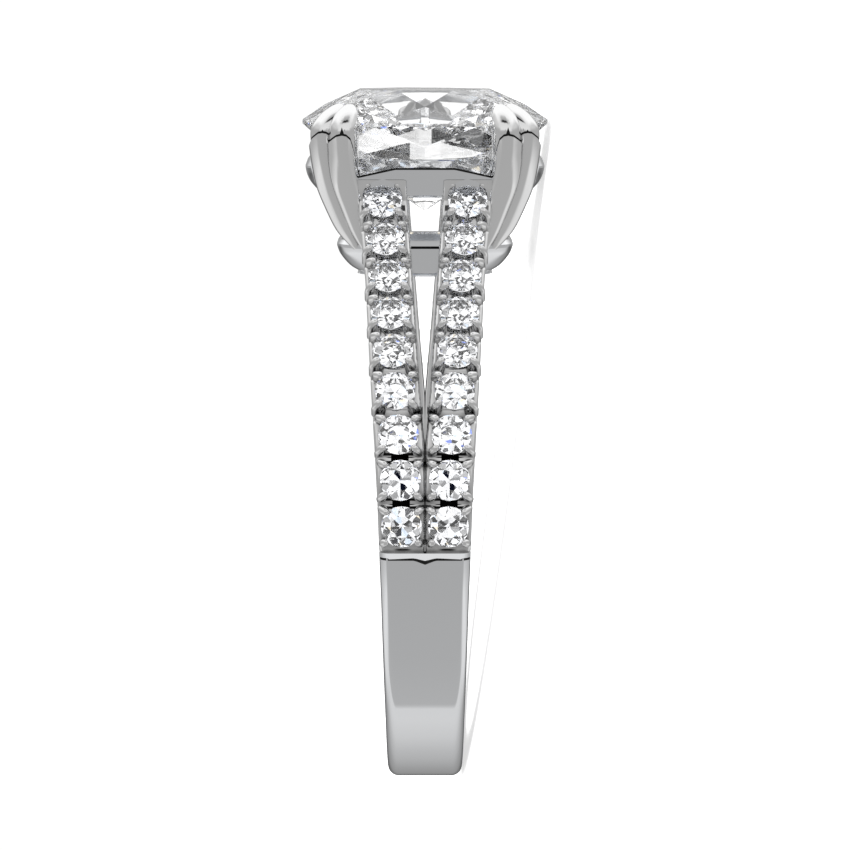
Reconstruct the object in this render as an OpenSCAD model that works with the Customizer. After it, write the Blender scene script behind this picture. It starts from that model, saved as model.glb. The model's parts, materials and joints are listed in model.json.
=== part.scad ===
/* [Finger hole and band] */
// radius of the finger hole
hole_r = 8.25; // [7.8:0.05:9.2]
// thickness of the band
band_t = 1.7; // [1.5:0.05:2]
// half width of the band at the bottom
band_half = 1.32; // [1.2:0.02:1.4]
// height above the middle of the finger hole at which the two arms part
split_z = 3.0; // [2.5:0.05:4]
// half the distance between the shoulders where they turn steeper, beside the head
shoulder_half = 4.01; // [3.95:0.01:4.1]
// slope of the steeper top of the shoulder
shoulder_top_angle = 33; // [30:1:36]

/* [Small stones] */
// diameter of a small stone
small_d = 1.4; // [1.3:0.02:1.44]
// spacing of the small stones along each arm
small_pitch = 1.59; // [1.55:0.01:1.65]
// small stones in each row
small_count = 9; // [7:1:9]
// how far the metal lies below the face of the band along the stones
pave_drop = 0.28; // [0.2:0.02:0.34]
// radius of the beads that hold the small stones
bead_r = 0.19; // [0.15:0.01:0.22]

/* [Centre stone] */
// half length of the centre stone, along the finger
stone_a = 4.4; // [4.3:0.05:4.5]
// half width of the centre stone, across the finger
stone_b = 3.65; // [3.6:0.05:3.75]
// crown height above the girdle
crown_h = 1.08; // [0.9:0.02:1.2]
// pavilion depth under the girdle
pavilion_h = 3.15; // [2.8:0.05:3.2]
// table size as a share of the stone
table_share = 0.55; // [0.5:0.01:0.62]

/* [Head] */
// half length of the upper rail, along the finger
rail_x = 4.27; // [4.2:0.01:4.4]
// half width of the upper rail
rail_y = 3.3; // [3.2:0.01:3.4]
// half length of the lower rail
cup_x = 3.15; // [3:0.01:3.2]
// half width of the lower rail
cup_y = 3.0; // [2.9:0.01:3.05]
// play between a stone and the metal round it
stone_gap = 0.025; // [0.02:0.005:0.04]

/* [Hidden] */
$fn = 96;
outer_r = hole_r + band_t;
faces = ["front", "back"];
sides = ["left", "right"];

// heights above the middle of the finger hole
cup_bottom = outer_r - 1.45;
cup_top = outer_r - 0.28;
rail_bottom = outer_r + 1.3;
rail_touch = outer_r + 2.32;
rail_top = outer_r + 2.62;
arm_top = outer_r + 1.95;
girdle_z = outer_r + 3.86;
girdle_h = 0.16;
table_z = girdle_z + girdle_h / 2 + crown_h;

// the ring lies on the edge of its band and one end of its upper rail
tilt = atan2(rail_x - band_half, rail_touch + outer_r);
rest_h = (band_half + outer_r * tan(tilt)) * cos(tilt);
low_end = -outer_r * cos(tilt) - band_half * sin(tilt);
high_end = table_z * cos(tilt) + stone_a * table_share * sin(tilt);
rest_x = -(low_end + high_end) / 2;

function small_name(f, s, i) = str("small_stone_", faces[f], "_", sides[s], "_", i);

// a straight line of the side view is the angle of its normal and its distance from the middle
function meet(a1, d1, a2, d2) =
    [(d1 * sin(a2) - d2 * sin(a1)) / sin(a2 - a1), (d2 * cos(a1) - d1 * cos(a2)) / sin(a2 - a1)];
function at_height(a, d, z) = [(d - z * sin(a)) / cos(a), z];
function along(a, p) = p[0] * cos(a) + p[1] * sin(a);
function up(a) = [-sin(a), cos(a)];

// the shoulder runs straight from the round band to its kink, then steeper to the upper rail
kink = [shoulder_half, outer_r + 0.6];
shoulder_angle = atan2(kink[1], kink[0]) - acos(outer_r / norm(kink));
leave = outer_r * [cos(shoulder_angle), sin(shoulder_angle)];
shoulder_l = norm(kink - leave);
top_d = along(shoulder_top_angle, kink);
arm_end = 2.75;
// how much longer the inside of an arm follows the finger hole than its outside
arm_follow = 11;

// half width of the shank, as pairs of height, in outer radii, and half width
shank_half = [
    [-1.1, band_half], [-1, band_half], [-0.67, band_half + 0.05], [-0.2, 1.49], [0.136, 1.614],
    [0.342, 1.73], [0.854, 2.075], [1.13, 2.385], [1.3, 2.56]
];
// half width of the gap between the arms, as pairs of height and half width
split_half = [
    [split_z, 0], [outer_r - 4.55, 0.2], [outer_r - 1.3, 0.43], [outer_r + 1.3, 0.61], [outer_r + 4, 0.76]
];

small_r = small_d / 2;
small_table = 0.56;
small_crown = 0.22;
small_girdle = 0.04;
small_pavilion = 0.58;
// height of a small stone's table over the face of the band
small_rise = 0.12;
// how far the first small stone sits above the kink
small_first = 0.82;

// the place of a small stone, s below the kink along the outside of the shoulder
function small_angle(s) =
    s > shoulder_l ? shoulder_angle - (s - shoulder_l) / outer_r * 180 / PI
    : s > 0 ? shoulder_angle : shoulder_top_angle + 1;
function small_place(s) =
    s > shoulder_l ? outer_r * [cos(small_angle(s)), sin(small_angle(s))]
    : s > 0 ? kink - s * up(shoulder_angle) : kink - s * up(shoulder_top_angle);
last_angle = small_angle((small_count - 1) * small_pitch - small_first);
// the face of the band ends in a slope down to the stones, between these two angles
slope_top = last_angle - 7.2;
slope_foot = last_angle - 4.6;

module place() {
    translate([rest_x, 0, rest_h])
        rotate([0, 90 - tilt, 0])
            children();
}

module along_x(half) {
    rotate([90, 0, 90])
        translate([0, 0, -half])
            linear_extrude(2 * half)
                children();
}

module along_y(half) {
    rotate([90, 0, 0])
        translate([0, 0, -half])
            linear_extrude(2 * half)
                children();
}

// an outline with equal halves, from pairs of height and half width
module both_halves(pairs) {
    polygon(concat(
        [for (p = pairs) [p[1], p[0]]],
        [for (i = [len(pairs) - 1 : -1 : 0]) [-pairs[i][1], pairs[i][0]]]
    ));
}

function half_at(pairs, z) = lookup(z, pairs);

// the band and shoulders from the side, with their face lowered by drop
module outside_view(drop) {
    start = (outer_r - drop) * [cos(shoulder_angle), sin(shoulder_angle)];
    turn = meet(shoulder_angle, outer_r - drop, shoulder_top_angle, top_d - drop);
    end = at_height(shoulder_top_angle, top_d - drop, arm_top);
    rotate(90)
        circle(outer_r - drop);
    polygon([
        [0, 0], start, turn, end,
        [-end[0], end[1]], [-turn[0], turn[1]], [-start[0], start[1]]
    ]);
}

// what is cut from one side for its rows of small stones
module small_stone_bed() {
    foot = (outer_r - pave_drop) * [cos(slope_foot), sin(slope_foot)];
    top = outer_r * [cos(slope_top), sin(slope_top)];
    out = top + 2 * (top - foot);
    difference() {
        polygon([[0, 0], foot, out, [out[0], 2 * arm_top], [0, 2 * arm_top]]);
        outside_view(pave_drop);
    }
}

module shank_side() {
    part = hole_r * [cos(shoulder_angle + arm_follow), sin(shoulder_angle + arm_follow)];
    join = at_height(shoulder_angle, along(shoulder_angle, part), 0)[0];
    join_z = (join - arm_end) / tan(shoulder_angle);
    difference() {
        outside_view(0);
        circle(hole_r);
        polygon([
            [0, 0], part, [arm_end, join_z], [arm_end, 2 * arm_top],
            [-arm_end, 2 * arm_top], [-arm_end, join_z], [-part[0], part[1]]
        ]);
        small_stone_bed();
        mirror([1, 0])
            small_stone_bed();
    }
}

module shank() {
    difference() {
        intersection() {
            along_x(3)
                shank_side();
            along_y(outer_r + 1)
                both_halves([for (p = shank_half) [p[0] * outer_r, p[1]]]);
        }
        along_y(outer_r + 2)
            both_halves(split_half);
    }
}

module round_box(x, y, r, z0, z1) {
    translate([0, 0, z0])
        linear_extrude(z1 - z0)
            union() {
                square([2 * x - 2 * r, 2 * y], center = true);
                square([2 * x, 2 * y - 2 * r], center = true);
                for (sx = [-1, 1], sy = [-1, 1])
                    translate([sx * (x - r), sy * (y - r)])
                        circle(r);
            }
}

// a rail is a round-cornered frame with its faces shaped from the front and from the side
module rail(x, y, r, wall, front, side) {
    bottom = front[0][0];
    top = front[len(front) - 1][0];
    difference() {
        intersection() {
            round_box(x, y, r, bottom, top);
            along_y(y + 1)
                both_halves(front);
            along_x(x + 1)
                both_halves(side);
        }
        round_box(x - wall, y - wall, r - wall, bottom - 1, top + 1);
    }
}

module upper_rail() {
    rail(
        rail_x, rail_y, 2.2, 0.85,
        [
            [rail_bottom, rail_x - 0.62], [rail_bottom + 0.15, rail_x - 0.47], [rail_touch, rail_x],
            [rail_touch + 0.15, rail_x - 0.01], [rail_top, rail_x - 0.12]
        ],
        [
            [rail_bottom, rail_y - 0.12], [rail_bottom + 0.2, rail_y], [rail_touch, rail_y],
            [rail_top, rail_y - 0.35]
        ]
    );
}

module lower_rail() {
    rail(
        cup_x, cup_y, 1.9, 0.8,
        [
            [cup_bottom - 0.06, cup_x - 1.1], [cup_bottom + 0.04, cup_x - 0.8],
            [cup_bottom + 0.18, cup_x - 0.54], [cup_bottom + 0.38, cup_x - 0.32],
            [cup_top - 0.1, cup_x], [cup_top, cup_x - 0.05]
        ],
        [
            [cup_bottom - 0.06, cup_y - 0.12], [cup_bottom + 0.04, cup_y], [cup_top - 0.1, cup_y],
            [cup_top, cup_y - 0.12]
        ]
    );
}

// each row of a claw: height over the girdle, distance in from the stone's end and from its
// long side, half width, half depth
outer_claw = [
    [-4.6, 2.15, 1.38, 0.1, 0.2], [-4.3, 2, 1.32, 0.24, 0.3], [-3.75, 1.66, 1.4, 0.4, 0.4],
    [-2.9, 1.3, 1.27, 0.45, 0.45], [-2.2, 1.06, 1.15, 0.48, 0.48], [-1.4, 0.9, 1.01, 0.5, 0.5],
    [-0.7, 0.82, 0.93, 0.52, 0.52], [-0.1, 0.8, 0.9, 0.52, 0.52], [0.29, 0.9, 0.99, 0.46, 0.46],
    [0.57, 1.04, 1.11, 0.34, 0.33], [0.71, 1.12, 1.18, 0.15, 0.14]
];
inner_claw = [
    [-4.6, 2.42, 1.02, 0.12, 0.2], [-4.3, 2.35, 1.03, 0.26, 0.3], [-3.75, 2.18, 1.02, 0.4, 0.42],
    [-2.9, 1.9, 0.83, 0.46, 0.45], [-2.2, 1.68, 0.67, 0.49, 0.47], [-1.4, 1.55, 0.53, 0.51, 0.49],
    [-0.7, 1.5, 0.43, 0.52, 0.5], [-0.1, 1.5, 0.37, 0.52, 0.5], [0.29, 1.59, 0.49, 0.46, 0.44],
    [0.57, 1.71, 0.66, 0.34, 0.31], [0.71, 1.77, 0.75, 0.15, 0.13]
];

// a claw skinned over oval sections, turned to face out at this angle
module claw(rows, angle) {
    n = 10;
    last = len(rows) - 1;
    points = [
        for (r = rows, k = [0 : n - 1])
            let (t = 360 * (k + 0.5) / n, out = r[4] * cos(t), across = r[3] * sin(t))
            [
                stone_a - r[1] + out * cos(angle) - across * sin(angle),
                stone_b - r[2] + out * sin(angle) + across * cos(angle),
                girdle_z + r[0]
            ]
    ];
    walls = [
        for (j = [0 : last - 1], k = [0 : n - 1])
            let (a = j * n + k, b = j * n + (k + 1) % n)
            each [[a, a + n, b], [b, a + n, b + n]]
    ];
    foot = [for (k = [1 : n - 2]) [0, k, k + 1]];
    tip = [for (k = [1 : n - 2]) [last * n, last * n + k + 1, last * n + k]];
    polyhedron(points, concat(walls, foot, tip));
}

module claws() {
    difference() {
        for (sx = [0, 1], sy = [0, 1])
            mirror([sx, 0, 0])
                mirror([0, sy, 0]) {
                    claw(outer_claw, 45);
                    claw(inner_claw, 63);
                }
        centre_seat();
    }
}

// the outline of a stone at an angle: a rounded oblong, or a circle of equal half sizes
function outline(a, b, power, t) =
    let (k = pow(pow(abs(cos(t)), power) + pow(abs(sin(t)), power), -1 / power))
    [a * k * cos(t), b * k * sin(t)];
function outline_dir(a, b, power, t) =
    let (d = outline(a, b, power, t + 1) - outline(a, b, power, t - 1))
    d / norm(d);
function cross2(p, q) = p[0] * q[1] - p[1] * q[0];
function meet_lines(p, u, q, v) = p + u * (cross2(q - p, v) / cross2(u, v));
// height over point p of the plane through three points
function plane_z(a, b, c, p) =
    let (m = cross(b - a, c - a))
    a[2] - (m[0] * (p[0] - a[0]) + m[1] * (p[1] - a[1])) / m[2];

// a brilliant cut: table, kites, stars and pairs of girdle facets over mains and lower halves
module brilliant(a, b, power, table, crown, girdle, pavilion, steps) {
    star = 0.5;
    lower = 0.78;
    // share of the girdle's height that is left where it is thinnest
    thin = 0.25;
    turn = 22.5;
    n = 16 * steps;
    high = girdle / 2;
    low = -girdle / 2;
    star_z = high + crown * (1 - star);
    low_z = low - pavilion * (1 - lower);
    corners = [for (i = [0 : 7]) outline(a, b, power, turn + 45 * i)];
    dirs = [for (i = [0 : 7]) outline_dir(a, b, power, turn + 45 * i)];
    kites = [for (c = corners) c * (1 - (1 - table) * star)];
    mains = [for (c = corners) c * lower];
    tables = [for (c = corners) [table * c[0], table * c[1], high + crown]];
    stars = [
        for (i = [0 : 7])
            let (j = (i + 1) % 8)
            concat(meet_lines(kites[i], dirs[i], kites[j], dirs[j]), [star_z])
    ];
    lows = [
        for (i = [0 : 7])
            let (j = (i + 1) % 8)
            concat(meet_lines(mains[i], dirs[i], mains[j], dirs[j]), [low_z])
    ];
    rim = [
        for (k = [0 : n - 1])
            let (
                i = floor(k / (2 * steps)),
                start = turn + 22.5 * floor(k / steps),
                p = outline(a, b, power, turn + 360 * k / n),
                q = outline(a, b, power, start),
                r = outline(a, b, power, start + 22.5)
            )
            [
                p[0], p[1],
                max(thin * high, plane_z(stars[i], concat(q, [high]), concat(r, [high]), p)),
                min(thin * low, plane_z(lows[i], concat(q, [low]), concat(r, [low]), p))
            ]
    ];
    star_0 = 8;
    high_0 = 16;
    low_0 = high_0 + n;
    lows_0 = low_0 + n;
    culet = lows_0 + 8;
    points = concat(
        tables, stars,
        [for (r = rim) [r[0], r[1], r[2]]],
        [for (r = rim) [r[0], r[1], r[3]]],
        lows, [[0, 0, low - pavilion]]
    );
    table_faces = [for (k = [1 : 6]) [0, k + 1, k]];
    main_faces = [
        for (i = [0 : 7])
            let (h = (i + 7) % 8, rim_i = i * 2 * steps)
            each [
                [i, (i + 1) % 8, star_0 + i],
                [i, star_0 + i, high_0 + rim_i],
                [i, high_0 + rim_i, star_0 + h],
                [culet, low_0 + rim_i, lows_0 + i],
                [culet, lows_0 + h, low_0 + rim_i]
            ]
    ];
    rim_faces = [
        for (k = [0 : n - 1])
            let (i = floor(k / (2 * steps)), m = (k + 1) % n)
            each [
                [star_0 + i, high_0 + m, high_0 + k],
                [high_0 + k, high_0 + m, low_0 + m],
                [high_0 + k, low_0 + m, low_0 + k],
                [lows_0 + i, low_0 + k, low_0 + m]
            ]
    ];
    polyhedron(points, concat(table_faces, main_faces, rim_faces));
}

module cushion() {
    brilliant(stone_a, stone_b, 2.75, table_share, crown_h, girdle_h, pavilion_h, 4);
}

module centre_stone() {
    color([0.86, 0.9, 0.95])
        place()
            translate([0, 0, girdle_z])
                cushion();
}

// the notch that the centre stone leaves in its claws, a little larger than the stone
module centre_seat() {
    grow = 1 + stone_gap / stone_b;
    translate([0, 0, girdle_z])
        scale([grow, grow, 1 + 1.2 * stone_gap / crown_h])
            cushion();
}

// puts a child at a small stone: x across the arm, y up it and z out of the metal
module at_small(f, s, i) {
    below = (i - 1) * small_pitch - small_first;
    p = small_place(below);
    z = p[1];
    gap = z > split_z ? half_at(split_half, z) : 0;
    x = (half_at([for (q = shank_half) [q[0] * outer_r, q[1]]], z) + gap) / 2;
    rotate([0, 0, f * 180])
        translate([(f == s ? -1 : 1) * x, -p[0], z])
            rotate([90 - small_angle(below), 0, 0])
                children();
}

module small_stone(f, s, i) {
    color([0.86, 0.9, 0.95])
        place()
            at_small(f, s, i)
                translate([0, 0, small_rise - small_crown - small_girdle / 2])
                    brilliant(small_r, small_r, 2, small_table, small_crown, small_girdle, small_pavilion, 1);
}

module small_seat() {
    rim_top = small_rise - small_crown + stone_gap;
    rim_foot = small_rise - small_crown - small_girdle - stone_gap;
    open = 0.4;
    rotate_extrude($fn = 32)
        polygon([
            [0, small_rise + open], [small_table * small_r + stone_gap, small_rise + open],
            [small_table * small_r + stone_gap, small_rise + stone_gap],
            [small_r + stone_gap, rim_top], [small_r + stone_gap, rim_foot],
            [0, rim_foot - small_pavilion - stone_gap]
        ]);
}

module small_beads() {
    across = 0.6;
    along_arm = 0.58;
    root = -0.6;
    shoulder = -0.04;
    for (sx = [-1, 1], sy = [-1, 1])
        translate([sx * across, sy * along_arm, 0])
            rotate_extrude($fn = 24)
                polygon([
                    [0, root], [bead_r, root], [bead_r, shoulder], [0.72 * bead_r, shoulder + 0.1],
                    [0.35 * bead_r, shoulder + 0.14], [0, shoulder + 0.14]
                ]);
}

module setting() {
    color([0.72, 0.72, 0.74])
        place() {
            difference() {
                union() {
                    shank();
                    upper_rail();
                    lower_rail();
                    for (f = [0, 1], s = [0, 1], i = [1 : small_count])
                        at_small(f, s, i)
                            small_beads();
                }
                rotate([0, 90, 0])
                    cylinder(r = hole_r, h = 12, center = true);
                for (f = [0, 1], s = [0, 1], i = [1 : small_count])
                    at_small(f, s, i)
                        small_seat();
            }
            claws();
        }
}

setting();
centre_stone();
for (f = [0, 1], s = [0, 1], i = [1 : small_count])
    small_stone(f, s, i);
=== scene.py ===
import json
import math

import bmesh
import bpy
from mathutils import Matrix, Vector


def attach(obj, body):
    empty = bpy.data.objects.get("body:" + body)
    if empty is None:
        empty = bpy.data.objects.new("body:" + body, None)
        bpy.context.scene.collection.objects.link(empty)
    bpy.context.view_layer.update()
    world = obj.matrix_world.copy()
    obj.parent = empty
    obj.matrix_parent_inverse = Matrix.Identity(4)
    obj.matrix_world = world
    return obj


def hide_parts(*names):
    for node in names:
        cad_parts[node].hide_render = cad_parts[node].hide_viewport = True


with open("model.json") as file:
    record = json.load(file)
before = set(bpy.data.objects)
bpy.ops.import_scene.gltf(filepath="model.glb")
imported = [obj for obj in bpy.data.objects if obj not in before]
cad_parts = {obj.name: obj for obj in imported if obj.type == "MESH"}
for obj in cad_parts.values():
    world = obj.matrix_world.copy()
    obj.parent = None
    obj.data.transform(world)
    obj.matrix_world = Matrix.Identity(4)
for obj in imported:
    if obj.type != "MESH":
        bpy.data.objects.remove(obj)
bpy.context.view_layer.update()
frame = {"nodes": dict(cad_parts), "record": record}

# The finger hole
# The ring is measured in millimetres from the middle of its finger hole: x along the finger,
# y away from the camera and z up to the centre stone. It lies on its side on the floor.
MM = 0.001
finger_hole = next(m for m in frame["record"]["mounts"] if m["name"] == "finger_hole")
hole_middle = Vector(finger_hole["pos_m"])
along_finger = -Vector(finger_hole["axis"]).normalized()
across = Vector((0, 1, 0))
to_stone = along_finger.cross(across)
ring_axes = Matrix((along_finger, across, to_stone)).transposed().to_4x4()
ring_place = Matrix.Translation(hole_middle) @ ring_axes @ Matrix.Scale(MM, 4)


# The camera
# A long studio lens 13 cm away, a little above the finger hole, and level with the ring as it is
# worn, so it lies on its side with the ring.
camera_distance = 130
camera_pitch = math.radians(7)
camera_aim = 2.8
camera_lens = 151.41

camera = bpy.data.objects.new("camera", bpy.data.cameras.new("camera"))
camera.data.lens = camera_lens
camera.data.sensor_width = 36
camera.data.clip_start = 10 * MM
camera.data.clip_end = 20
eye = Vector((
    0, -camera_distance * math.cos(camera_pitch),
    camera_aim + camera_distance * math.sin(camera_pitch),
))
look = Matrix((
    (1, 0, 0),
    (0, math.sin(camera_pitch), -math.cos(camera_pitch)),
    (0, math.cos(camera_pitch), math.sin(camera_pitch)),
)).to_4x4()
turn = ring_place.to_3x3().normalized().to_4x4()
camera.matrix_world = Matrix.Translation(ring_place @ eye) @ turn @ look
bpy.context.collection.objects.link(camera)
bpy.context.scene.camera = camera


# The room
# A white studio with a grey wall behind the camera and two black cards over it, so that the
# polished metal has something to mirror. The floor is a sheet of pale card under a softbox.
sky = bpy.data.worlds.new("studio")
bpy.context.scene.world = sky
sky.use_nodes = True
tree = sky.node_tree
links = tree.links
tree.nodes.clear()


def node(tree, kind, **values):
    """A new node, with its settings by name and its sockets by number as s0, s1 and so on."""
    new = tree.nodes.new(kind)
    for key, value in values.items():
        if key[0] == "s" and key[1:].isdigit():
            new.inputs[int(key[1:])].default_value = value
        else:
            setattr(new, key, value)
    return new


def ramp(tree, stops, source, interpolation="EASE"):
    """A colour ramp of grey stops, each a place and a level, fed from source."""
    new = tree.nodes.new("ShaderNodeValToRGB")
    new.color_ramp.interpolation = interpolation
    new.color_ramp.elements.remove(new.color_ramp.elements[1])
    new.color_ramp.elements[0].position = stops[0][0]
    for place, level in stops[1:]:
        new.color_ramp.elements.new(place)
    for element, (place, level) in zip(new.color_ramp.elements, stops):
        element.color = (level, level, level, 1)
    tree.links.new(source, new.inputs[0])
    return new


direction = node(tree, "ShaderNodeTexCoord")
as_worn = node(tree, "ShaderNodeMapping", vector_type="POINT")
as_worn.inputs["Rotation"].default_value = turn.inverted().to_euler()
links.new(direction.outputs["Generated"], as_worn.inputs["Vector"])
part = node(tree, "ShaderNodeSeparateXYZ")
links.new(as_worn.outputs["Vector"], part.inputs[0])
# side: 0 straight ahead, 1 at either side; height: from -1 below to 1 above
side = node(tree, "ShaderNodeMath", operation="ABSOLUTE")
links.new(part.outputs["X"], side.inputs[0])
backwards = node(tree, "ShaderNodeMath", operation="MULTIPLY", s1=-1.0)
links.new(part.outputs["Y"], backwards.inputs[0])
pitch = node(tree, "ShaderNodeMath", operation="ARCTAN2")
links.new(part.outputs["Z"], pitch.inputs[0])
links.new(backwards.outputs[0], pitch.inputs[1])
turned = node(tree, "ShaderNodeMapRange", s1=-math.pi, s2=math.pi, s3=0.0, s4=1.0)
links.new(pitch.outputs[0], turned.inputs[0])


def by_pitch(levels):
    """Levels by pitch in degrees: -90 under the ring, 0 at the camera, 90 over it and 180 behind it."""
    stops = [((degrees + 180) / 360, level) for degrees, level in levels]
    return ramp(tree, stops, turned.outputs[0], "LINEAR")


hung = by_pitch([
    (-180, 0.4), (-165, 0.1), (-152, 0.3), (-141, 0.36), (-128, 0.47), (-119, 0.53), (-107, 0.64),
    (-95, 0.7), (-87, 0.7), (-85, 0.47), (-60, 0.44), (2, 0.42), (12, 0.45), (22, 0.82), (60, 0.78),
    (100, 1.1), (150, 1.1), (170, 0.4), (180, 0.4),
]).outputs[0]
# two black cards hang over the camera, a narrow one and over it a wider one in a grey frame, each
# with the places where its ends begin and stop to fade
for levels, fade_start, fade_end in (
    ([(10, 1.0), (13, 0.02), (21, 0.02), (24, 1.0)], 0.03, 0.09),
    ([(57, 1.0), (61, 0.6), (62.5, 0.02), (69, 0.02), (70.5, 0.45), (78, 0.6), (86, 1.0)], 0.17, 0.5),
):
    reach = ramp(tree, [(0.0, 1.0), (fade_start, 1.0), (fade_end, 0.0), (1.0, 0.0)], side.outputs[0])
    shaded = node(tree, "ShaderNodeMix", data_type="RGBA", blend_type="MULTIPLY")
    links.new(reach.outputs[0], shaded.inputs["Factor"])
    links.new(hung, shaded.inputs[6])
    links.new(by_pitch(levels).outputs[0], shaded.inputs[7])
    hung = shaded.outputs[2]
by_side = ramp(tree, [(0.0, 0.0), (0.6, 0.0), (0.8, 1.0), (1.0, 1.0)], side.outputs[0])
height = node(tree, "ShaderNodeMapRange", s1=-1.0, s2=1.0, s3=0.0, s4=1.0)
links.new(part.outputs["Z"], height.inputs[0])
by_height = ramp(tree, [
    (0.0, 0.7), (0.28, 0.8), (0.39, 0.46), (0.55, 0.42), (0.62, 0.45), (0.72, 0.64), (0.86, 0.72),
    (1.0, 1.05),
], height.outputs[0], "LINEAR")
wall = node(tree, "ShaderNodeMix", data_type="RGBA")
links.new(by_side.outputs[0], wall.inputs["Factor"])
links.new(hung, wall.inputs[6])
links.new(by_height.outputs[0], wall.inputs[7])
room = node(tree, "ShaderNodeBackground")
links.new(wall.outputs[2], room.inputs["Color"])
# what the stones gather: white cards with dark gaps, and a little colour as a prism spreads it
cards = node(tree, "ShaderNodeTexVoronoi", feature="F1")
cards.inputs["Scale"].default_value = 13.0
links.new(as_worn.outputs["Vector"], cards.inputs["Vector"])
pick = node(tree, "ShaderNodeSeparateColor")
links.new(cards.outputs["Color"], pick.inputs[0])
light_or_dark = ramp(tree, [
    (0.0, 0.01), (0.24, 0.04), (0.26, 0.6), (0.33, 1.0), (0.4, 1.5), (1.0, 2.3),
], pick.outputs[0], "LINEAR")
tint = node(tree, "ShaderNodeValToRGB")
tint.color_ramp.interpolation = "CONSTANT"
tint.color_ramp.elements[0].color = (0.25, 0.35, 1.0, 1)
tint.color_ramp.elements[1].position = 0.013
tint.color_ramp.elements[1].color = (1, 1, 1, 1)
for place, colour in ((0.94, (1.0, 0.9, 0.7, 1)), (0.96, (0.78, 0.88, 1.0, 1))):
    tint.color_ramp.elements.new(place).color = colour
links.new(pick.outputs[1], tint.inputs[0])
gathered = node(tree, "ShaderNodeMix", data_type="RGBA", blend_type="MULTIPLY")
gathered.inputs["Factor"].default_value = 1.0
links.new(light_or_dark.outputs[0], gathered.inputs[6])
links.new(tint.outputs[0], gathered.inputs[7])
fire = node(tree, "ShaderNodeBackground")
links.new(gathered.outputs[2], fire.inputs["Color"])
# the camera sees plain white, light through the stones sees the fire and the metal mirrors the room
white = node(tree, "ShaderNodeBackground", s0=(1, 1, 1, 1), s1=1.05)
seen = node(tree, "ShaderNodeLightPath")
inside = node(tree, "ShaderNodeMixShader")
links.new(seen.outputs["Is Transmission Ray"], inside.inputs[0])
links.new(room.outputs[0], inside.inputs[1])
links.new(fire.outputs[0], inside.inputs[2])
either = node(tree, "ShaderNodeMixShader")
links.new(seen.outputs["Is Camera Ray"], either.inputs[0])
links.new(inside.outputs[0], either.inputs[1])
links.new(white.outputs[0], either.inputs[2])
out = node(tree, "ShaderNodeOutputWorld")
links.new(either.outputs[0], out.inputs[0])
bpy.context.scene.view_settings.view_transform = "Standard"
# light goes round inside a cut stone many times before it leaves, and the metal throws no glints
# on the floor
bpy.context.scene.cycles.max_bounces = 24
bpy.context.scene.cycles.glossy_bounces = 20
bpy.context.scene.cycles.transmission_bounces = 20
bpy.context.scene.cycles.caustics_reflective = False


def principled(name, **settings):
    """A new material, its tree and its shader, with settings by socket name, each space as an underscore."""
    material = bpy.data.materials.new(name)
    material.use_nodes = True
    shader = material.node_tree.nodes["Principled BSDF"]
    for socket, value in settings.items():
        shader.inputs[socket.replace("_", " ")].default_value = value
    return material, material.node_tree, shader


floor_size = 4.0
bm = bmesh.new()
bmesh.ops.create_grid(bm, x_segments=1, y_segments=1, size=floor_size / 2)
floor = bpy.data.objects.new("floor", bpy.data.meshes.new("floor"))
bm.to_mesh(floor.data)
bm.free()
bpy.context.collection.objects.link(floor)
card = principled(
    "pale_card", Base_Color=(0.93, 0.93, 0.93, 1), Roughness=0.9, Specular_IOR_Level=0.1,
    Emission_Color=(1, 1, 1, 1), Emission_Strength=0.68,
)[0]
floor.data.materials.append(card)
floor.visible_glossy = False
floor.visible_transmission = False

lamp = bpy.data.objects.new("softbox", bpy.data.lights.new("softbox", "AREA"))
lamp.data.shape = "DISK"
lamp.data.size = 0.5
lamp.data.energy = 1.2
lamp.location = (0, -0.05, 0.45)
lamp.visible_glossy = False
lamp.visible_transmission = False
bpy.context.collection.objects.link(lamp)


# The diamonds
# One rounded oblong brilliant of about 2.7 carats and 36 small round ones, all of them colourless.
# They are cut and polished on a wheel, so the solids' flat facets stay as they are.
stone_rim = 13.75
# the painted shade under the rim comes in over this much on either side of it
rim_fade = 0.1

# the small stones are a light grey rather than quite clear, which brings out their facets
diamond, tree, shader = principled(
    "diamond", Base_Color=(0.73, 0.735, 0.75, 1), Roughness=0.0, IOR=2.42, Transmission_Weight=1.0,
)
# the wheel leaves faint traces on the facets
where = node(tree, "ShaderNodeTexCoord")
traces = node(tree, "ShaderNodeTexNoise")
traces.inputs["Scale"].default_value = 3000
tree.links.new(where.outputs["Object"], traces.inputs["Vector"])
gloss = node(tree, "ShaderNodeMapRange", s1=0.3, s2=0.7, s3=0.0, s4=0.002)
tree.links.new(traces.outputs["Fac"], gloss.inputs[0])
tree.links.new(gloss.outputs[0], shader.inputs["Roughness"])

# the big stone's facets aren't quite flat
deep_diamond = diamond.copy()
deep_diamond.name = "deep_diamond"
tree = deep_diamond.node_tree
shader = tree.nodes["Principled BSDF"]
where = node(tree, "ShaderNodeTexCoord")
patches = node(tree, "ShaderNodeTexVoronoi", feature="F1")
patches.inputs["Scale"].default_value = 700
tree.links.new(where.outputs["Object"], patches.inputs["Vector"])
centred = node(tree, "ShaderNodeVectorMath", operation="SUBTRACT", s1=(0.5, 0.5, 0.5))
tree.links.new(patches.outputs["Color"], centred.inputs[0])
small = node(tree, "ShaderNodeVectorMath", operation="SCALE")
small.inputs["Scale"].default_value = 0.005
tree.links.new(centred.outputs[0], small.inputs[0])
facing = node(tree, "ShaderNodeNewGeometry")
tilted = node(tree, "ShaderNodeVectorMath", operation="ADD")
tree.links.new(facing.outputs["Normal"], tilted.inputs[0])
tree.links.new(small.outputs[0], tilted.inputs[1])
straight = node(tree, "ShaderNodeVectorMath", operation="NORMALIZE")
tree.links.new(tilted.outputs[0], straight.inputs[0])
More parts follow.
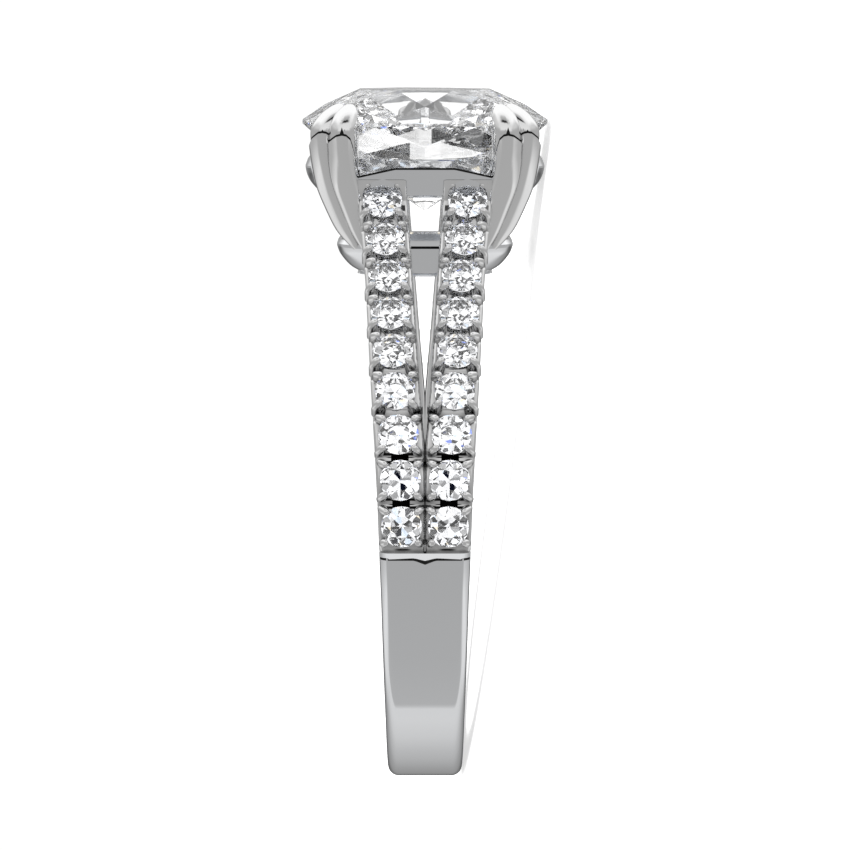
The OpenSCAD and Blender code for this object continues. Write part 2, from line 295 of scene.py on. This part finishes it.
tree.links.new(straight.outputs[0], shader.inputs["Normal"])
# under its rim the stone's colour is darkened with painted shade, for the metal that stands round it there
upward = node(tree, "ShaderNodeVectorMath", operation="DOT_PRODUCT")
tree.links.new(where.outputs["Object"], upward.inputs[0])
upward.inputs[1].default_value = to_stone
rim_z = to_stone.dot(hole_middle) + stone_rim * MM
level = node(tree, "ShaderNodeMapRange", s1=rim_z - rim_fade * MM, s2=rim_z + rim_fade * MM, s3=0.0, s4=1.0)
tree.links.new(upward.outputs["Value"], level.inputs[0])
clear = ramp(tree, [(0.0, 0.55), (1.0, 1.0)], level.outputs[0], "LINEAR")
tree.links.new(clear.outputs[0], shader.inputs["Base Color"])
for name, stone in frame["nodes"].items():
    if "stone" in name:
        stone.data.materials.clear()
        stone.data.materials.append(deep_diamond if name == "centre_stone" else diamond)


# The band
# Cast in 18 ct white gold and polished. It is round outside and inside, a little narrower at the
# foot, and its face ends on either side in a slope down to the small stones.
hole_r = finger_hole["dims"]["r_mm"]
outer_r = hole_r + 1.7
band_half = 1.32
# the roundings of the band's edges, at the finger and outside
bore_edge_r, outer_edge_r = 0.22, 0.38
# half widths by height, the heights as shares of the outside's radius
shank_half = [
    (-1.1, band_half), (-1, band_half), (-0.67, band_half + 0.05), (-0.2, 1.49), (0.136, 1.614),
    (0.342, 1.73), (0.854, 2.075), (1.13, 2.385), (1.3, 2.56),
]
shoulder_top_angle = math.radians(33)
kink = Vector((4.01, outer_r + 0.6))
shoulder_angle = math.atan2(kink.y, kink.x) - math.acos(outer_r / kink.length)
leave = outer_r * Vector((math.cos(shoulder_angle), math.sin(shoulder_angle)))
shoulder_l = (kink - leave).length
small_count = 9
small_pitch = 1.59
small_first = 0.82
last_s = (small_count - 1) * small_pitch - small_first
last_angle = shoulder_angle - (last_s - shoulder_l) / outer_r
arm_foot = last_angle - math.radians(4.05)
slope_foot = last_angle - math.radians(5.3)
slope_top = last_angle - math.radians(6.6)
edge_turn = math.radians(0.46)
# the slope starts and ends this far under the outside
slope_foot_drop, slope_top_drop = 0.107, 0.021
pave_drop = 0.28
valley_r = outer_r - pave_drop - 0.12
# the black line comes to a point in the middle of the face and fades out towards its ends
point_half = 0.36
fade_from = 0.45
# in degrees, how far its lower and its upper edge dip to the point, and how much the upper one comes
# down for each millimetre towards the ends
lower_dip, upper_dip, upper_fade = 0.8, 0.5, 0.3

white_gold, tree, shader = principled("white_gold", Base_Color=(0.885, 0.895, 0.91, 1), Metallic=1.0)
where = node(tree, "ShaderNodeTexCoord")
haze = node(tree, "ShaderNodeTexNoise")
haze.inputs["Scale"].default_value = 900
haze.inputs["Detail"].default_value = 3
tree.links.new(where.outputs["Object"], haze.inputs["Vector"])
polish = node(tree, "ShaderNodeMapRange", s1=0.3, s2=0.7, s3=0.035, s4=0.075)
tree.links.new(haze.outputs["Fac"], polish.inputs[0])
tree.links.new(polish.outputs[0], shader.inputs["Roughness"])


def gold_with_painted_shade(name, distance, stops):
    """White gold with painted shade, darker where other metal or a stone stands within a distance of it."""
    material = white_gold.copy()
    material.name = name
    tree = material.node_tree
    corner = node(tree, "ShaderNodeAmbientOcclusion", samples=6)
    corner.inputs["Distance"].default_value = distance * MM
    dark = ramp(tree, stops, corner.outputs["AO"], "LINEAR")
    tree.links.new(dark.outputs[0], tree.nodes["Principled BSDF"].inputs["Base Color"])
    return material


# between the small stones the metal is darkened with painted shade where other metal and the stones stand
# close
pave_gold_painted_shade = gold_with_painted_shade("pave_gold_painted_shade", 0.3, [(0.0, 0.06), (0.2, 0.22), (0.55, 0.6), (1.0, 0.86)])

# the fine black lines along the cuts are painted near black: painted reflections of the dark cards and
# painted shade
painted_black_line, tree, shader = principled("painted_black_line", Metallic=0.0, Roughness=0.7, Specular_IOR_Level=0.1)
where = node(tree, "ShaderNodeTexCoord")
line_speckle = node(tree, "ShaderNodeTexNoise")
line_speckle.inputs["Scale"].default_value = 6000
tree.links.new(where.outputs["Object"], line_speckle.inputs["Vector"])
tone = ramp(tree, [(0.0, 0.004), (1.0, 0.012)], line_speckle.outputs["Fac"])
tree.links.new(tone.outputs[0], shader.inputs["Base Color"])


def between(pairs, z):
    """The value at z, read between the rows of a table."""
    if z <= pairs[0][0]:
        return pairs[0][1]
    for (z0, a), (z1, b) in zip(pairs, pairs[1:]):
        if z <= z1:
            return a + (b - a) * (z - z0) / (z1 - z0)
    return pairs[-1][1]


def half_width(z):
    return between(shank_half, z / outer_r)


def skin(bm, rows, ring=False):
    """Joins rows of equally many points by extruding each to the next, and closes the ends or the ring."""
    number = bm.verts.layers.int.get("number") or bm.verts.layers.int.new("number")
    row = bmesh.ops.create_circle(bm, segments=len(rows[0]), radius=1)["verts"]
    for i, v in enumerate(row):
        v[number] = i
        v.co = rows[0][i]
    edges = list(dict.fromkeys(e for v in row for e in v.link_edges))
    first, made = edges, list(row)
    for points in rows[1:] + (rows[:1] if ring else []):
        new = bmesh.ops.extrude_edge_only(bm, edges=edges)["geom"]
        row = [g for g in new if isinstance(g, bmesh.types.BMVert)]
        for v in row:
            v.co = points[v[number]]
        inside = set(row)
        edges = [e for e in dict.fromkeys(e for v in row for e in v.link_edges) if inside.issuperset(e.verts)]
        made += row
    if ring:
        bmesh.ops.remove_doubles(bm, verts=made, dist=1e-5)
    else:
        for end in (first, edges):
            bmesh.ops.edgeloop_fill(bm, edges=end)
    bmesh.ops.recalc_face_normals(bm, faces=bm.faces)


def rounded(x0, x1, y0, y1, r0, r1, steps=5):
    """Points round an oblong whose corners at y0 have radius r0 and those at y1 radius r1."""
    corners = [
        (x1 - r0, y0 + r0, r0, -90), (x1 - r1, y1 - r1, r1, 0),
        (x0 + r1, y1 - r1, r1, 90), (x0 + r0, y0 + r0, r0, 180),
    ]
    points = []
    for x, y, r, start in corners:
        for k in range(steps + 1):
            a = math.radians(start + 90 * k / steps)
            points.append((x + r * math.cos(a), y + r * math.sin(a)))
    return points


def finish(bm, name, materials, sharp):
    """Puts a piece in its place on the ring and gives it its metals, and creases at sharp degrees."""
    bmesh.ops.transform(bm, matrix=ring_place, verts=bm.verts)
    bmesh.ops.recalc_face_normals(bm, faces=bm.faces)
    mesh = bpy.data.meshes.new(name)
    bm.to_mesh(mesh)
    bm.free()
    mesh.shade_smooth()
    mesh.set_sharp_from_angle(angle=math.radians(sharp))
    for material in materials:
        mesh.materials.append(material)
    piece = bpy.data.objects.new(name, mesh)
    bpy.context.collection.objects.link(piece)
    even = piece.modifiers.new("even", "WEIGHTED_NORMAL")
    even.keep_sharp = True
    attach(piece, "root")
    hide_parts("setting")


def band_row(angle, outer, inner, inset, dip, fade):
    """A cut through the band, an angle up from the front, which dips to a point in the face's middle."""
    half = 1.5
    edge_steps = 12
    cut = rounded(-half + inset, half - inset, inner, outer, bore_edge_r, outer_edge_r, edge_steps)
    before_face = 2 * (edge_steps + 1)
    across_face = [(x, outer) for x in (0.9, 0.6, 0.4, 0.3, 0.2, 0.1, 0, -0.1, -0.2, -0.3, -0.4, -0.6, -0.9)]
    row = []
    for x, r in cut[:before_face] + across_face + cut[before_face:]:
        lowered = dip * max(0, 1 - abs(x) / point_half) + fade * max(0, abs(x) - fade_from)
        here = angle - math.radians(lowered) if r > outer - 0.01 else angle
        z = r * math.sin(here)
        # the edges follow the band's width
        if abs(x) > 1:
            x = math.copysign(half_width(z) - half + abs(x), x)
        row.append((x, -r * math.cos(here), z))
    return row


# each cut's angle, outside, inside, inset, dip and fade, from under the arms down to the foot
half_turn = [
    (arm_foot + math.radians(1.5), valley_r - 0.1, hole_r + 0.06, 0.06, 0, 0),
    (arm_foot, valley_r, hole_r, 0, 0, 0),
    (slope_foot + math.radians(0.1), valley_r, hole_r, 0, 0, 0),
    (slope_foot, outer_r - slope_foot_drop, hole_r, 0, 0, 0),
    (slope_top + edge_turn, outer_r - slope_top_drop, hole_r, 0, upper_dip, upper_fade),
    (slope_top, outer_r, hole_r, 0, lower_dip, 0),
]
foot_cuts = 44
for k in range(1, foot_cuts + 1):
    half_turn.append((slope_top + (-math.pi / 2 - slope_top) * k / foot_cuts, outer_r, hole_r, 0, 0, 0))
rows = [band_row(*station) for station in half_turn]
rows += [[(x, -y, z) for x, y, z in row] for row in rows[-2::-1]]
bm = bmesh.new()
skin(bm, rows)
# 1 is the valley under the stones, with painted shade, and 2 the black line at the foot of the slope, a
# painted reflection
for face in bm.faces:
    centre = face.calc_center_median()
    r, angle = math.hypot(centre.y, centre.z), math.atan2(centre.z, abs(centre.y))
    middle = max(0, 1 - abs(centre.x) / point_half)
    end = max(0, abs(centre.x) - fade_from) * (r > outer_r - 0.04)
    low = slope_top - math.radians(lower_dip * middle)
    high = slope_top + edge_turn - math.radians(upper_dip * middle + upper_fade * end)
    if r > outer_r - 0.25 and low < angle < high:
        face.material_index = 2
    elif valley_r - 0.1 < r < outer_r - 0.04 and slope_foot < angle < arm_foot:
        face.material_index = 1
finish(bm, "band", (white_gold, pave_gold_painted_shade, painted_black_line), sharp=9)


# The arms
# The band splits into two arms on each side, cast in one with it. Their faces are cut down a little
# for the stones, with a saddle filed between each stone and the next, and a seat drilled under each.
split_z = 3.0
# half widths by height of the gap between the arms
gap_half = [
    (split_z - 1, -0.02), (split_z, 0.0), (outer_r - 4.55, 0.2), (outer_r - 1.3, 0.43),
    (outer_r + 1.3, 0.61), (outer_r + 4, 0.76),
]
arm_end = 2.75
arm_follow = math.radians(11)
arm_top = outer_r + 1.81
# the roundings of an arm's edges, inside and at its face
arm_inner_r, arm_face_r = 0.1, 0.13
# an arm's foot goes this far on into the band, this much lower and narrower
foot_in, foot_drop, foot_inset = 0.4, 0.06, 0.05
saddle_depth = 0.42
saddle_l = 0.34
# the last two saddles are shallow, with a slot in the middle
slotted_depth = 0.1
slotted = (8, 9)
slot_half = (0.3, 0.11)
slot_edge_r = 0.03
slot_reach = -0.9
# the wall over the first stone: how far out it stands, and the length over which it rises
wall_y = 3.42
wall_l = 0.4
# the first stone leans this much further back than the shoulder's top
first_tilt = math.radians(1)
small_r = 0.7
girdle_foot = -0.14
seat_gap = 0.03
# under the stone's rim a seat narrows by a short slope and then by a cone, down to a small flat
seat_slope_in, seat_slope_down = 0.05, 0.06
seat_deep = 0.62
seat_flat_r = 0.08
# the hole over the first stone leans down the arm, so that the wall at its top leans over the stone
first_lean = 0.2


def small_angle(s):
    """The way a small stone at s looks."""
    if s > shoulder_l:
        return shoulder_angle - (s - shoulder_l) / outer_r
    return shoulder_angle if s > 0 else shoulder_top_angle + first_tilt


def small_place(s):
    """A place on the outside of the shoulder, s below its kink."""
    if s > shoulder_l:
        return outer_r * Vector((math.cos(small_angle(s)), math.sin(small_angle(s))))
    a = shoulder_angle if s > 0 else shoulder_top_angle
    return kink - s * Vector((-math.sin(a), math.cos(a)))


def face_angle(s):
    """The way the shoulder's face looks, turned smoothly past the kink."""
    turn_l = 0.25
    if s > shoulder_l:
        return small_angle(s)
    t = min(1, max(0, 0.5 + s / (2 * turn_l)))
    return shoulder_top_angle + (shoulder_angle - shoulder_top_angle) * t


def arm_depth(s):
    """How thick the arm is at s: down to the finger hole, and higher up to a straight inside."""
    p, a = small_place(s), face_angle(s)
    past = min(max(0, shoulder_l - s), hole_r * math.sin(arm_follow)) if s > 0 else 0
    depth = outer_r - math.sqrt(hole_r ** 2 - past ** 2) if s > 0 else math.inf
    return min(depth, (p.x - arm_end) / math.cos(a)) if p.x > arm_end else 0.05


def face_drop(s):
    """How far the face lies under the outline at s."""
    if s < -small_first:
        wall = min(pave_drop, (small_place(s).x - wall_y) / math.cos(shoulder_top_angle))
        return pave_drop + (wall - pave_drop) * min(1, (-small_first - s) / wall_l)
    nearest = round((s + small_first) / small_pitch - 0.5) + 0.5
    off = abs(s + small_first - nearest * small_pitch)
    if not 0.4 < nearest < small_count - 0.4 or off > saddle_l:
        return pave_drop
    depth = saddle_depth if nearest + 1.5 < slotted[0] else slotted_depth
    return pave_drop + depth * 0.5 * (1 + math.cos(math.pi * off / saddle_l))


def arm_row(s, side, front, drop, inset):
    """A cut through an arm at s, its face dropped and its sides inset."""
    p, a, depth = small_place(s), face_angle(s), arm_depth(s)
    out = Vector((math.cos(a), math.sin(a)))
    row = []
    for x, d in rounded(0, 1, -depth + inset, -drop, arm_inner_r, arm_face_r):
        q = p + d * out
        gap, edge = between(gap_half, q.y), half_width(q.y)
        x = gap + inset + x if x < 0.5 else edge - inset - (1 - x)
        row.append((side * x, -front * q.x, q.y))
    return row


def seat_row(r, z, n=40):
    return [(r * math.cos(2 * math.pi * k / n), r * math.sin(2 * math.pi * k / n), z) for k in range(n)]


def at_small(side, front, i):
    """The place of small stone i: x across the arm, y up it and z out of the metal."""
    s = (i - 1) * small_pitch - small_first
    p, a = small_place(s), small_angle(s)
    gap = between(gap_half, p.y) if p.y > split_z else 0
    x = side * (half_width(p.y) + gap) / 2
    up = Vector((0, front * math.sin(a), math.cos(a)))
    out = Vector((0, -front * math.cos(a), math.sin(a)))
    axes = Matrix((up.cross(out), up, out)).transposed().to_4x4()
    return Matrix.Translation(Vector((x, -front * p.x, p.y))) @ axes


def add_to(whole, shape, place=Matrix()):
    """Adds one shape, put in its place, to another."""
    bmesh.ops.transform(shape, matrix=place, verts=shape.verts)
    mesh = bpy.data.meshes.new("shape")
    shape.to_mesh(mesh)
    shape.free()
    whole.from_mesh(mesh)
    bpy.data.meshes.remove(mesh)


def cut_by(shape, cutters):
    """The shape with the cutters taken away from it one after the other."""
    pieces = []
    for i, bm in enumerate([shape, *cutters]):
        mesh = bpy.data.meshes.new(f"cut_{i}")
        bm.to_mesh(mesh)
        bm.free()
        pieces.append(bpy.data.objects.new(mesh.name, mesh))
        bpy.context.collection.objects.link(pieces[-1])
    for tool in pieces[1:]:
        cut = pieces[0].modifiers.new(tool.name, "BOOLEAN")
        cut.object = tool
        cut.operation = "DIFFERENCE"
        cut.solver = "MANIFOLD"
    bpy.context.view_layer.update()
    result = bmesh.new()
    result.from_mesh(pieces[0].evaluated_get(bpy.context.evaluated_depsgraph_get()).to_mesh())
    for piece in pieces:
        mesh = piece.data
        bpy.data.objects.remove(piece)
        bpy.data.meshes.remove(mesh)
    return result


foot_s = shoulder_l + (shoulder_angle - arm_foot) * outer_r
top_s = -(arm_top - kink.y) / math.cos(shoulder_top_angle)
arm_cuts = 150
for front, front_name in ((1, "front"), (-1, "back")):
    for side, side_name in ((1, "right"), (-1, "left")):
        rows = [arm_row(foot_s + foot_in, side, front, pave_drop + foot_drop, foot_inset)]
        for k in range(arm_cuts + 1):
            s = foot_s + (top_s - foot_s) * k / arm_cuts
            rows.append(arm_row(s, side, front, face_drop(s), 0))
        bm, seats, slots = bmesh.new(), bmesh.new(), bmesh.new()
        skin(bm, rows)
        for i in range(1, small_count + 1):
            bore = [
                seat_row(seat_flat_r, girdle_foot - seat_deep),
                seat_row(small_r + seat_gap - seat_slope_in, girdle_foot - seat_slope_down),
                seat_row(small_r + seat_gap, girdle_foot), seat_row(small_r + seat_gap, 0.05),
            ]
            if i == 1:
                bore.append([(x, y - first_lean, z) for x, y, z in seat_row(small_r - 0.02, 0.5)])
            seat = bmesh.new()
            skin(seat, bore)
            add_to(seats, seat, at_small(side, front, i))
        slot_x, slot_y = slot_half
        slot_places = [at_small(side, front, i - 0.5) for i in slotted]
        for place in slot_places:
            slot = bmesh.new()
            outline = rounded(-slot_x, slot_x, -slot_y, slot_y, slot_edge_r, slot_edge_r)
            skin(slot, [[(x, y, z) for x, y in outline] for z in (slot_reach, 0.1)])
            add_to(slots, slot, place)
        bm = cut_by(bm, (seats, slots))
        # the slots are painted black inside, a painted shade
        to_slots = [place.inverted() for place in slot_places]
        for face in bm.faces:
            for to_slot in to_slots:
                x, y, z = to_slot @ face.calc_center_median()
                if abs(x) < slot_x + 0.01 and abs(y) < slot_y + 0.01 and z < 0:
                    face.material_index = 1
        finish(bm, f"arm_{front_name}_{side_name}", (pave_gold_painted_shade, painted_black_line), sharp=40)


# The beads
# Each small stone is held by four little prongs, raised from the corners of its seat with a
# graver and pushed over the stone's edge with a round punch.
bead_x, bead_y, bead_r = 0.56, 0.53, 0.135
outwards = Vector((0.85, 0.5))
# each row's height, its share of the radius, how far it is pushed outwards and how long it is that way
bead_rows = [
    (-0.7, 1.1, 0.06, 1.5), (-0.25, 1.1, 0.06, 1.5), (-0.1, 1.08, 0.05, 1.42), (-0.02, 1.04, 0.03, 1.34),
    (0.05, 0.95, 0.0, 1.22), (0.1, 0.8, -0.02, 1.12), (0.135, 0.58, -0.03, 1.05), (0.152, 0.3, -0.04, 1.0),
    (0.157, 0.1, -0.04, 1.0),
]


def bead_row(row, place, sx, sy, is_round, n=16):
    z, share, push, long = row
    c = Vector((sx * outwards.x, sy * outwards.y)).normalized()
    points = []
    for k in range(n):
        t = 2 * math.pi * k / n
        u, w = bead_r * share * (1 if is_round else long) * math.cos(t), bead_r * share * math.sin(t)
        x = sx * bead_x + push * c.x + u * c.x - w * c.y
        y = sy * bead_y + push * c.y + u * c.y + w * c.x
        points.append(place @ Vector((x, y, z)))
    return points


for front, front_name in ((1, "front"), (-1, "back")):
    bm = bmesh.new()
    for side in (1, -1):
        for i in range(1, small_count + 1):
            place = at_small(side, front, i)
            for sx in (1, -1):
                for sy in (1, -1):
                    # the lowest beads stand against the slope and stay round
                    is_round = i == small_count and sy < 0
                    skin(bm, [bead_row(row, place, sx, sy, is_round) for row in bead_rows])
    finish(bm, f"beads_{front_name}", (pave_gold_painted_shade,), sharp=60)


# The rails
# Two frames of flat white gold wire, bent round the stone and soldered to the arms and the claws:
# a wide one under the stone's rim and a smaller one over the finger.
rail_x, rail_y = 4.27, 3.3
rail_bottom, rail_touch, rail_top = outer_r + 1.3, outer_r + 2.32, outer_r + 2.62
cup_x, cup_y = 3.15, 3.0
cup_bottom, cup_top = outer_r - 1.45, outer_r - 0.28
# the filing starts this far from the middle of a long side and goes on for this long
filed_from, filed_l = 1.05, 1.5
# it reaches this deep under the top edge, and is at its full depth this much higher
filed_deep, filed_fade = 1.1, 0.6


def frame_row(x, y, r, z, n=14, along=24):
    """Points round a rounded oblong, with more along its two long sides."""
    row = []
    for k, (sx, sy) in enumerate(((1, 1), (-1, 1), (-1, -1), (1, -1))):
        for j in range(n + 1):
            a = math.radians(90 * k + 90 * j / n)
            row.append((sx * (x - r) + r * math.cos(a), sy * (y - r) + r * math.sin(a), z))
        if k in (0, 2):
            row += [(sx * (x - r) * (1 - 2 * j / along), sy * y, z) for j in range(1, along)]
    return row


def smooth_rows(rows, parts=5):
    """More rows on a smooth curve through the given ones."""
    out = []
    for i in range(len(rows) - 1):
        near = [rows[max(0, i - 1)], rows[i], rows[i + 1], rows[min(len(rows) - 1, i + 2)]]
        for k in range(parts):
            t = k / parts
            row = []
            for a, b, c, d in zip(*near):
                bend, twist = 2 * a - 5 * b + 4 * c - d, 3 * b - a - 3 * c + d
                row.append(0.5 * (2 * b + (c - a) * t + bend * t * t + twist * t ** 3))
            out.append(row)
    return out + [list(rows[-1])]


def rail(name, x, y, r, wall, sides, sharp, scoop=0):
    """A rail from its outside's rows: heights, and insets at the ends and along the sides."""
    bottom, top = sides[0][0], sides[-1][0]
    rows = [frame_row(x - fx, y - fy, r - min(fx, fy), z) for z, fx, fy in sides]
    if scoop:
        # the top edge of a long side is filed down towards its ends
        for row in rows:
            for k, (px, py, pz) in enumerate(row):
                if abs(py) > y - 1.2:
                    share = min(1, max(0, (pz - top + filed_deep) / filed_fade))
                    from_middle = min(filed_l, max(0, abs(px) - filed_from))
                    row[k] = (px, py, pz - share * scoop * from_middle)
    edge = 0.07
    inner = r - wall
    rows += [
        frame_row(x - wall + edge, y - wall + edge, inner + edge, top),
        frame_row(x - wall, y - wall, inner, top - edge),
        frame_row(x - wall, y - wall, inner, bottom + edge),
        frame_row(x - wall + edge, y - wall + edge, inner + edge, bottom),
    ]
    bm = bmesh.new()
    skin(bm, rows, ring=True)
    # the black line under the top edge of each long side, where the wire leans in a little, is a painted
    # reflection of the dark cards
    for face in bm.faces:
        n = face.normal
        leaning = math.degrees(math.atan2(n.z, abs(n.y)))
        if 5 < leaning < 20 and abs(n.x) < 0.35 and face.calc_center_median().z > top - 0.9:
            face.material_index = 1
    finish(bm, name, (white_gold, painted_black_line), sharp)


upper_side = smooth_rows([
    (rail_bottom, 0.68, 0.12), (rail_bottom + 0.05, 0.6, 0.04), (rail_bottom + 0.15, 0.47, 0.0),
    (rail_bottom + 0.45, 0.2, 0.0), (rail_touch - 0.3, 0.06, 0.0), (rail_touch - 0.04, 0.0, 0.0),
], 4) + [(rail_touch + 0.03, 0.0, 0.017), (rail_top - 0.04, 0.08, 0.3), (rail_top, 0.16, 0.38)]
lower_side = smooth_rows([
    (cup_bottom - 0.06, 1.1, 0.12), (cup_bottom + 0.04, 0.8, 0.02), (cup_bottom + 0.18, 0.54, 0.0),
    (cup_bottom + 0.38, 0.32, 0.0), (cup_top - 0.5, 0.1, 0.0), (cup_top - 0.24, 0.0, 0.0),
]) + [(cup_top - 0.15, 0.0, 0.016), (cup_top, 0.1, 0.14)]
rail("upper_rail", rail_x, rail_y, 2.2, 0.85, upper_side, sharp=9, scoop=0.22)
rail("lower_rail", cup_x, cup_y, 1.9, 0.8, lower_side, sharp=24)


# The claws
# Eight claws of white gold in four pairs, soldered to both rails, notched for the stone's rim and
# filed to a point over it.
stone_a, stone_b = 4.4, 3.65
girdle_z = outer_r + 3.86
# each row's height over the rim, its insets from the stone's ends and sides, its half width and depth
outer_claw = [
    (-4.6, 2.15, 1.38, 0.1, 0.2), (-4.3, 2, 1.32, 0.24, 0.3), (-3.75, 1.66, 1.4, 0.4, 0.4),
    (-2.9, 1.3, 1.27, 0.45, 0.45), (-2.2, 1.06, 1.15, 0.48, 0.48), (-1.4, 0.9, 1.01, 0.5, 0.5),
    (-0.7, 0.82, 0.93, 0.52, 0.52), (-0.1, 0.8, 0.9, 0.52, 0.52), (0.29, 0.9, 0.99, 0.46, 0.46),
    (0.57, 1.04, 1.11, 0.34, 0.33), (0.71, 1.12, 1.18, 0.15, 0.14),
]
inner_claw = [
    (-4.6, 2.42, 1.02, 0.12, 0.2), (-4.3, 2.35, 1.03, 0.26, 0.3), (-3.75, 2.18, 1.02, 0.4, 0.42),
    (-2.9, 1.9, 0.83, 0.46, 0.45), (-2.2, 1.68, 0.67, 0.49, 0.47), (-1.4, 1.55, 0.53, 0.51, 0.49),
    (-0.7, 1.5, 0.43, 0.52, 0.5), (-0.1, 1.5, 0.37, 0.52, 0.5), (0.29, 1.59, 0.49, 0.46, 0.44),
    (0.57, 1.71, 0.66, 0.34, 0.31), (0.71, 1.77, 0.75, 0.15, 0.13),
]
# the tip leans back over the stone from the claw's middle line: height, how far back, half width
tip = [
    (-1.6, 0.14, 0.47), (-1.1, 0.1, 0.49), (-0.7, 0.06, 0.51), (-0.4, 0.045, 0.52), (-0.15, 0.06, 0.52),
    (0.05, 0.11, 0.5), (0.25, 0.19, 0.455), (0.42, 0.265, 0.385), (0.56, 0.34, 0.29), (0.66, 0.395, 0.19),
    (0.71, 0.425, 0.09),
]
# the notch on each claw's face: its arch from the outside to the stone's middle, round its top point
outer_arch = [
    (-0.5, -0.42), (-0.39, -0.19), (-0.15, -0.02), (0.0, 0.0), (0.12, -0.02), (0.25, -0.09), (0.4, -0.3),
]
inner_arch = [
    (-0.6, -0.35), (-0.46, -0.2), (-0.2, -0.04), (0.0, 0.0), (0.15, -0.03), (0.3, -0.16), (0.39, -0.44),
    (0.5, -0.97),
]
# the notch's black line is a painted reflection; it stands groove over the arch and goes on notch_depth down
# behind it
groove = 0.085
notch_depth = 0.3
# how steeply the arch's cuts rise to the outside
arch_slope = 0.13
# the point over the arch: half its width, and how far its foot is under the arch's top
spike_half, spike_foot = 0.12, 0.08
# from this far under the rim a claw turns from an oval to a squarer bar, over this length
square_from, square_over = 1.0, 1.2

# where two claws meet, and against the stone, painted shade darkens the metal to a dark line
claw_gold_painted_shade = gold_with_painted_shade("claw_gold_painted_shade", 0.2, [(0.0, 0.03), (0.3, 0.15), (0.5, 0.87), (1.0, 0.895)])


def claw_row(row, square, angle, sx, sy, n=28):
    """A cut through a claw: an oval, or squarer lower down, its face turned out at an angle."""
    z, ex, ey, half, deep = row
    low = min(1, max(0, (-z - square_from) / square_over))
    power = 2 / (2 + (square[0] - 2) * low)
    angle = math.radians(angle + square[1] * low)
    points = []
    for k in range(n):
        c, s = math.cos(2 * math.pi * (k + 0.5) / n), math.sin(2 * math.pi * (k + 0.5) / n)
        o = deep * math.copysign(abs(c) ** power, c)
        w = half * math.copysign(abs(s) ** power, s)
        x = stone_a - ex + o * math.cos(angle) - w * math.sin(angle)
        y = stone_b - ey + o * math.sin(angle) + w * math.cos(angle)
        points.append((sx * x, sy * y, girdle_z + z))
    return points


def arch_planes(arch, rise, middle, sx, sy):
    """The planes of an arch and of its point, as a place and an upward normal each."""
    planes = []
    for (x0, z0), (x1, z1) in zip(arch, arch[1:]):
        slope = (z0 - z1) / (x1 - x0)
        planes.append((middle + Vector((-sx * x0, 0, z0 + rise)), Vector((-sx * slope, -sy * arch_slope, 1))))
    return planes


def over(planes, point):
    """How far a point lies over the planes, or under all of them if it is less than 0."""
    return max((point - place).dot(normal) for place, normal in planes)


def split(bm, planes, cut_away=False):
    """Splits a shape along planes, or takes off what lies over them and closes it again."""
    for place, normal in planes:
        made = bmesh.ops.bisect_plane(
            bm, geom=bm.verts[:] + bm.edges[:] + bm.faces[:], dist=1e-6,
            plane_co=place, plane_no=normal, clear_outer=cut_away,
        )
        rim = [e for e in made["geom_cut"] if isinstance(e, bmesh.types.BMEdge)]
        if cut_away and rim:
            bmesh.ops.edgeloop_fill(bm, edges=rim)


claws = bmesh.new()
# each claw's rows, angle, the squareness and turn of its foot, the lean and width of its tip, its
# arch, and the heights of the arch and of the point over it
for rows, angle, square, lean, wide, arch, arch_z, spike in (
    (outer_claw, 45, (2.4, 12), (1.3, 1.0), 1.06, outer_arch, -0.29, 0.14),
    (inner_claw, 63, (3.4, 20), (0.55, 1.2), 1.0, inner_arch, -0.36, 0.31),
):
    ex, ey = between([(r[0], r[1]) for r in rows], 0.0), between([(r[0], r[2]) for r in rows], 0.0)
    core = smooth_rows([
        (z, ex + back * lean[0], ey + back * lean[1], half * wide, half * 0.97) for z, back, half in tip
    ])
    rows = smooth_rows(rows)
    for sx in (1, -1):
        for sy in (1, -1):
            core_bm, front_bm = bmesh.new(), bmesh.new()
            skin(core_bm, [claw_row(row, square, angle, sx, sy) for row in core])
            skin(front_bm, [claw_row(row, square, angle, sx, sy) for row in rows if row[0] < 0.2])
            ridge = claw_row(min(rows, key=lambda row: abs(row[0] - arch_z)), square, angle, sx, sy)
            front_y = max(abs(p[1]) for p in ridge)
            middle = Vector((sum(p[0] for p in ridge) / len(ridge), sy * front_y, girdle_z + arch_z))
            split(front_bm, arch_planes(arch, 0, middle, sx, sy), cut_away=True)
            line = arch_planes(arch, groove, middle, sx, sy)
            peak = [(-spike_half, -spike_foot), (0, spike), (spike_half, -spike_foot)]
            point = arch_planes(peak, 0, middle, sx, sy)
            split(core_bm, line + point + arch_planes(arch, -notch_depth, middle, sx, sy))
            for face in core_bm.faces:
                centre = face.calc_center_median()
                height = min(over(line, centre), over(point, centre))
                face.material_index = int(over(line, centre) > -notch_depth - groove and height < 0)
            add_to(claws, core_bm)
            add_to(claws, front_bm)
finish(claws, "claws", (claw_gold_painted_shade, painted_black_line), sharp=50)
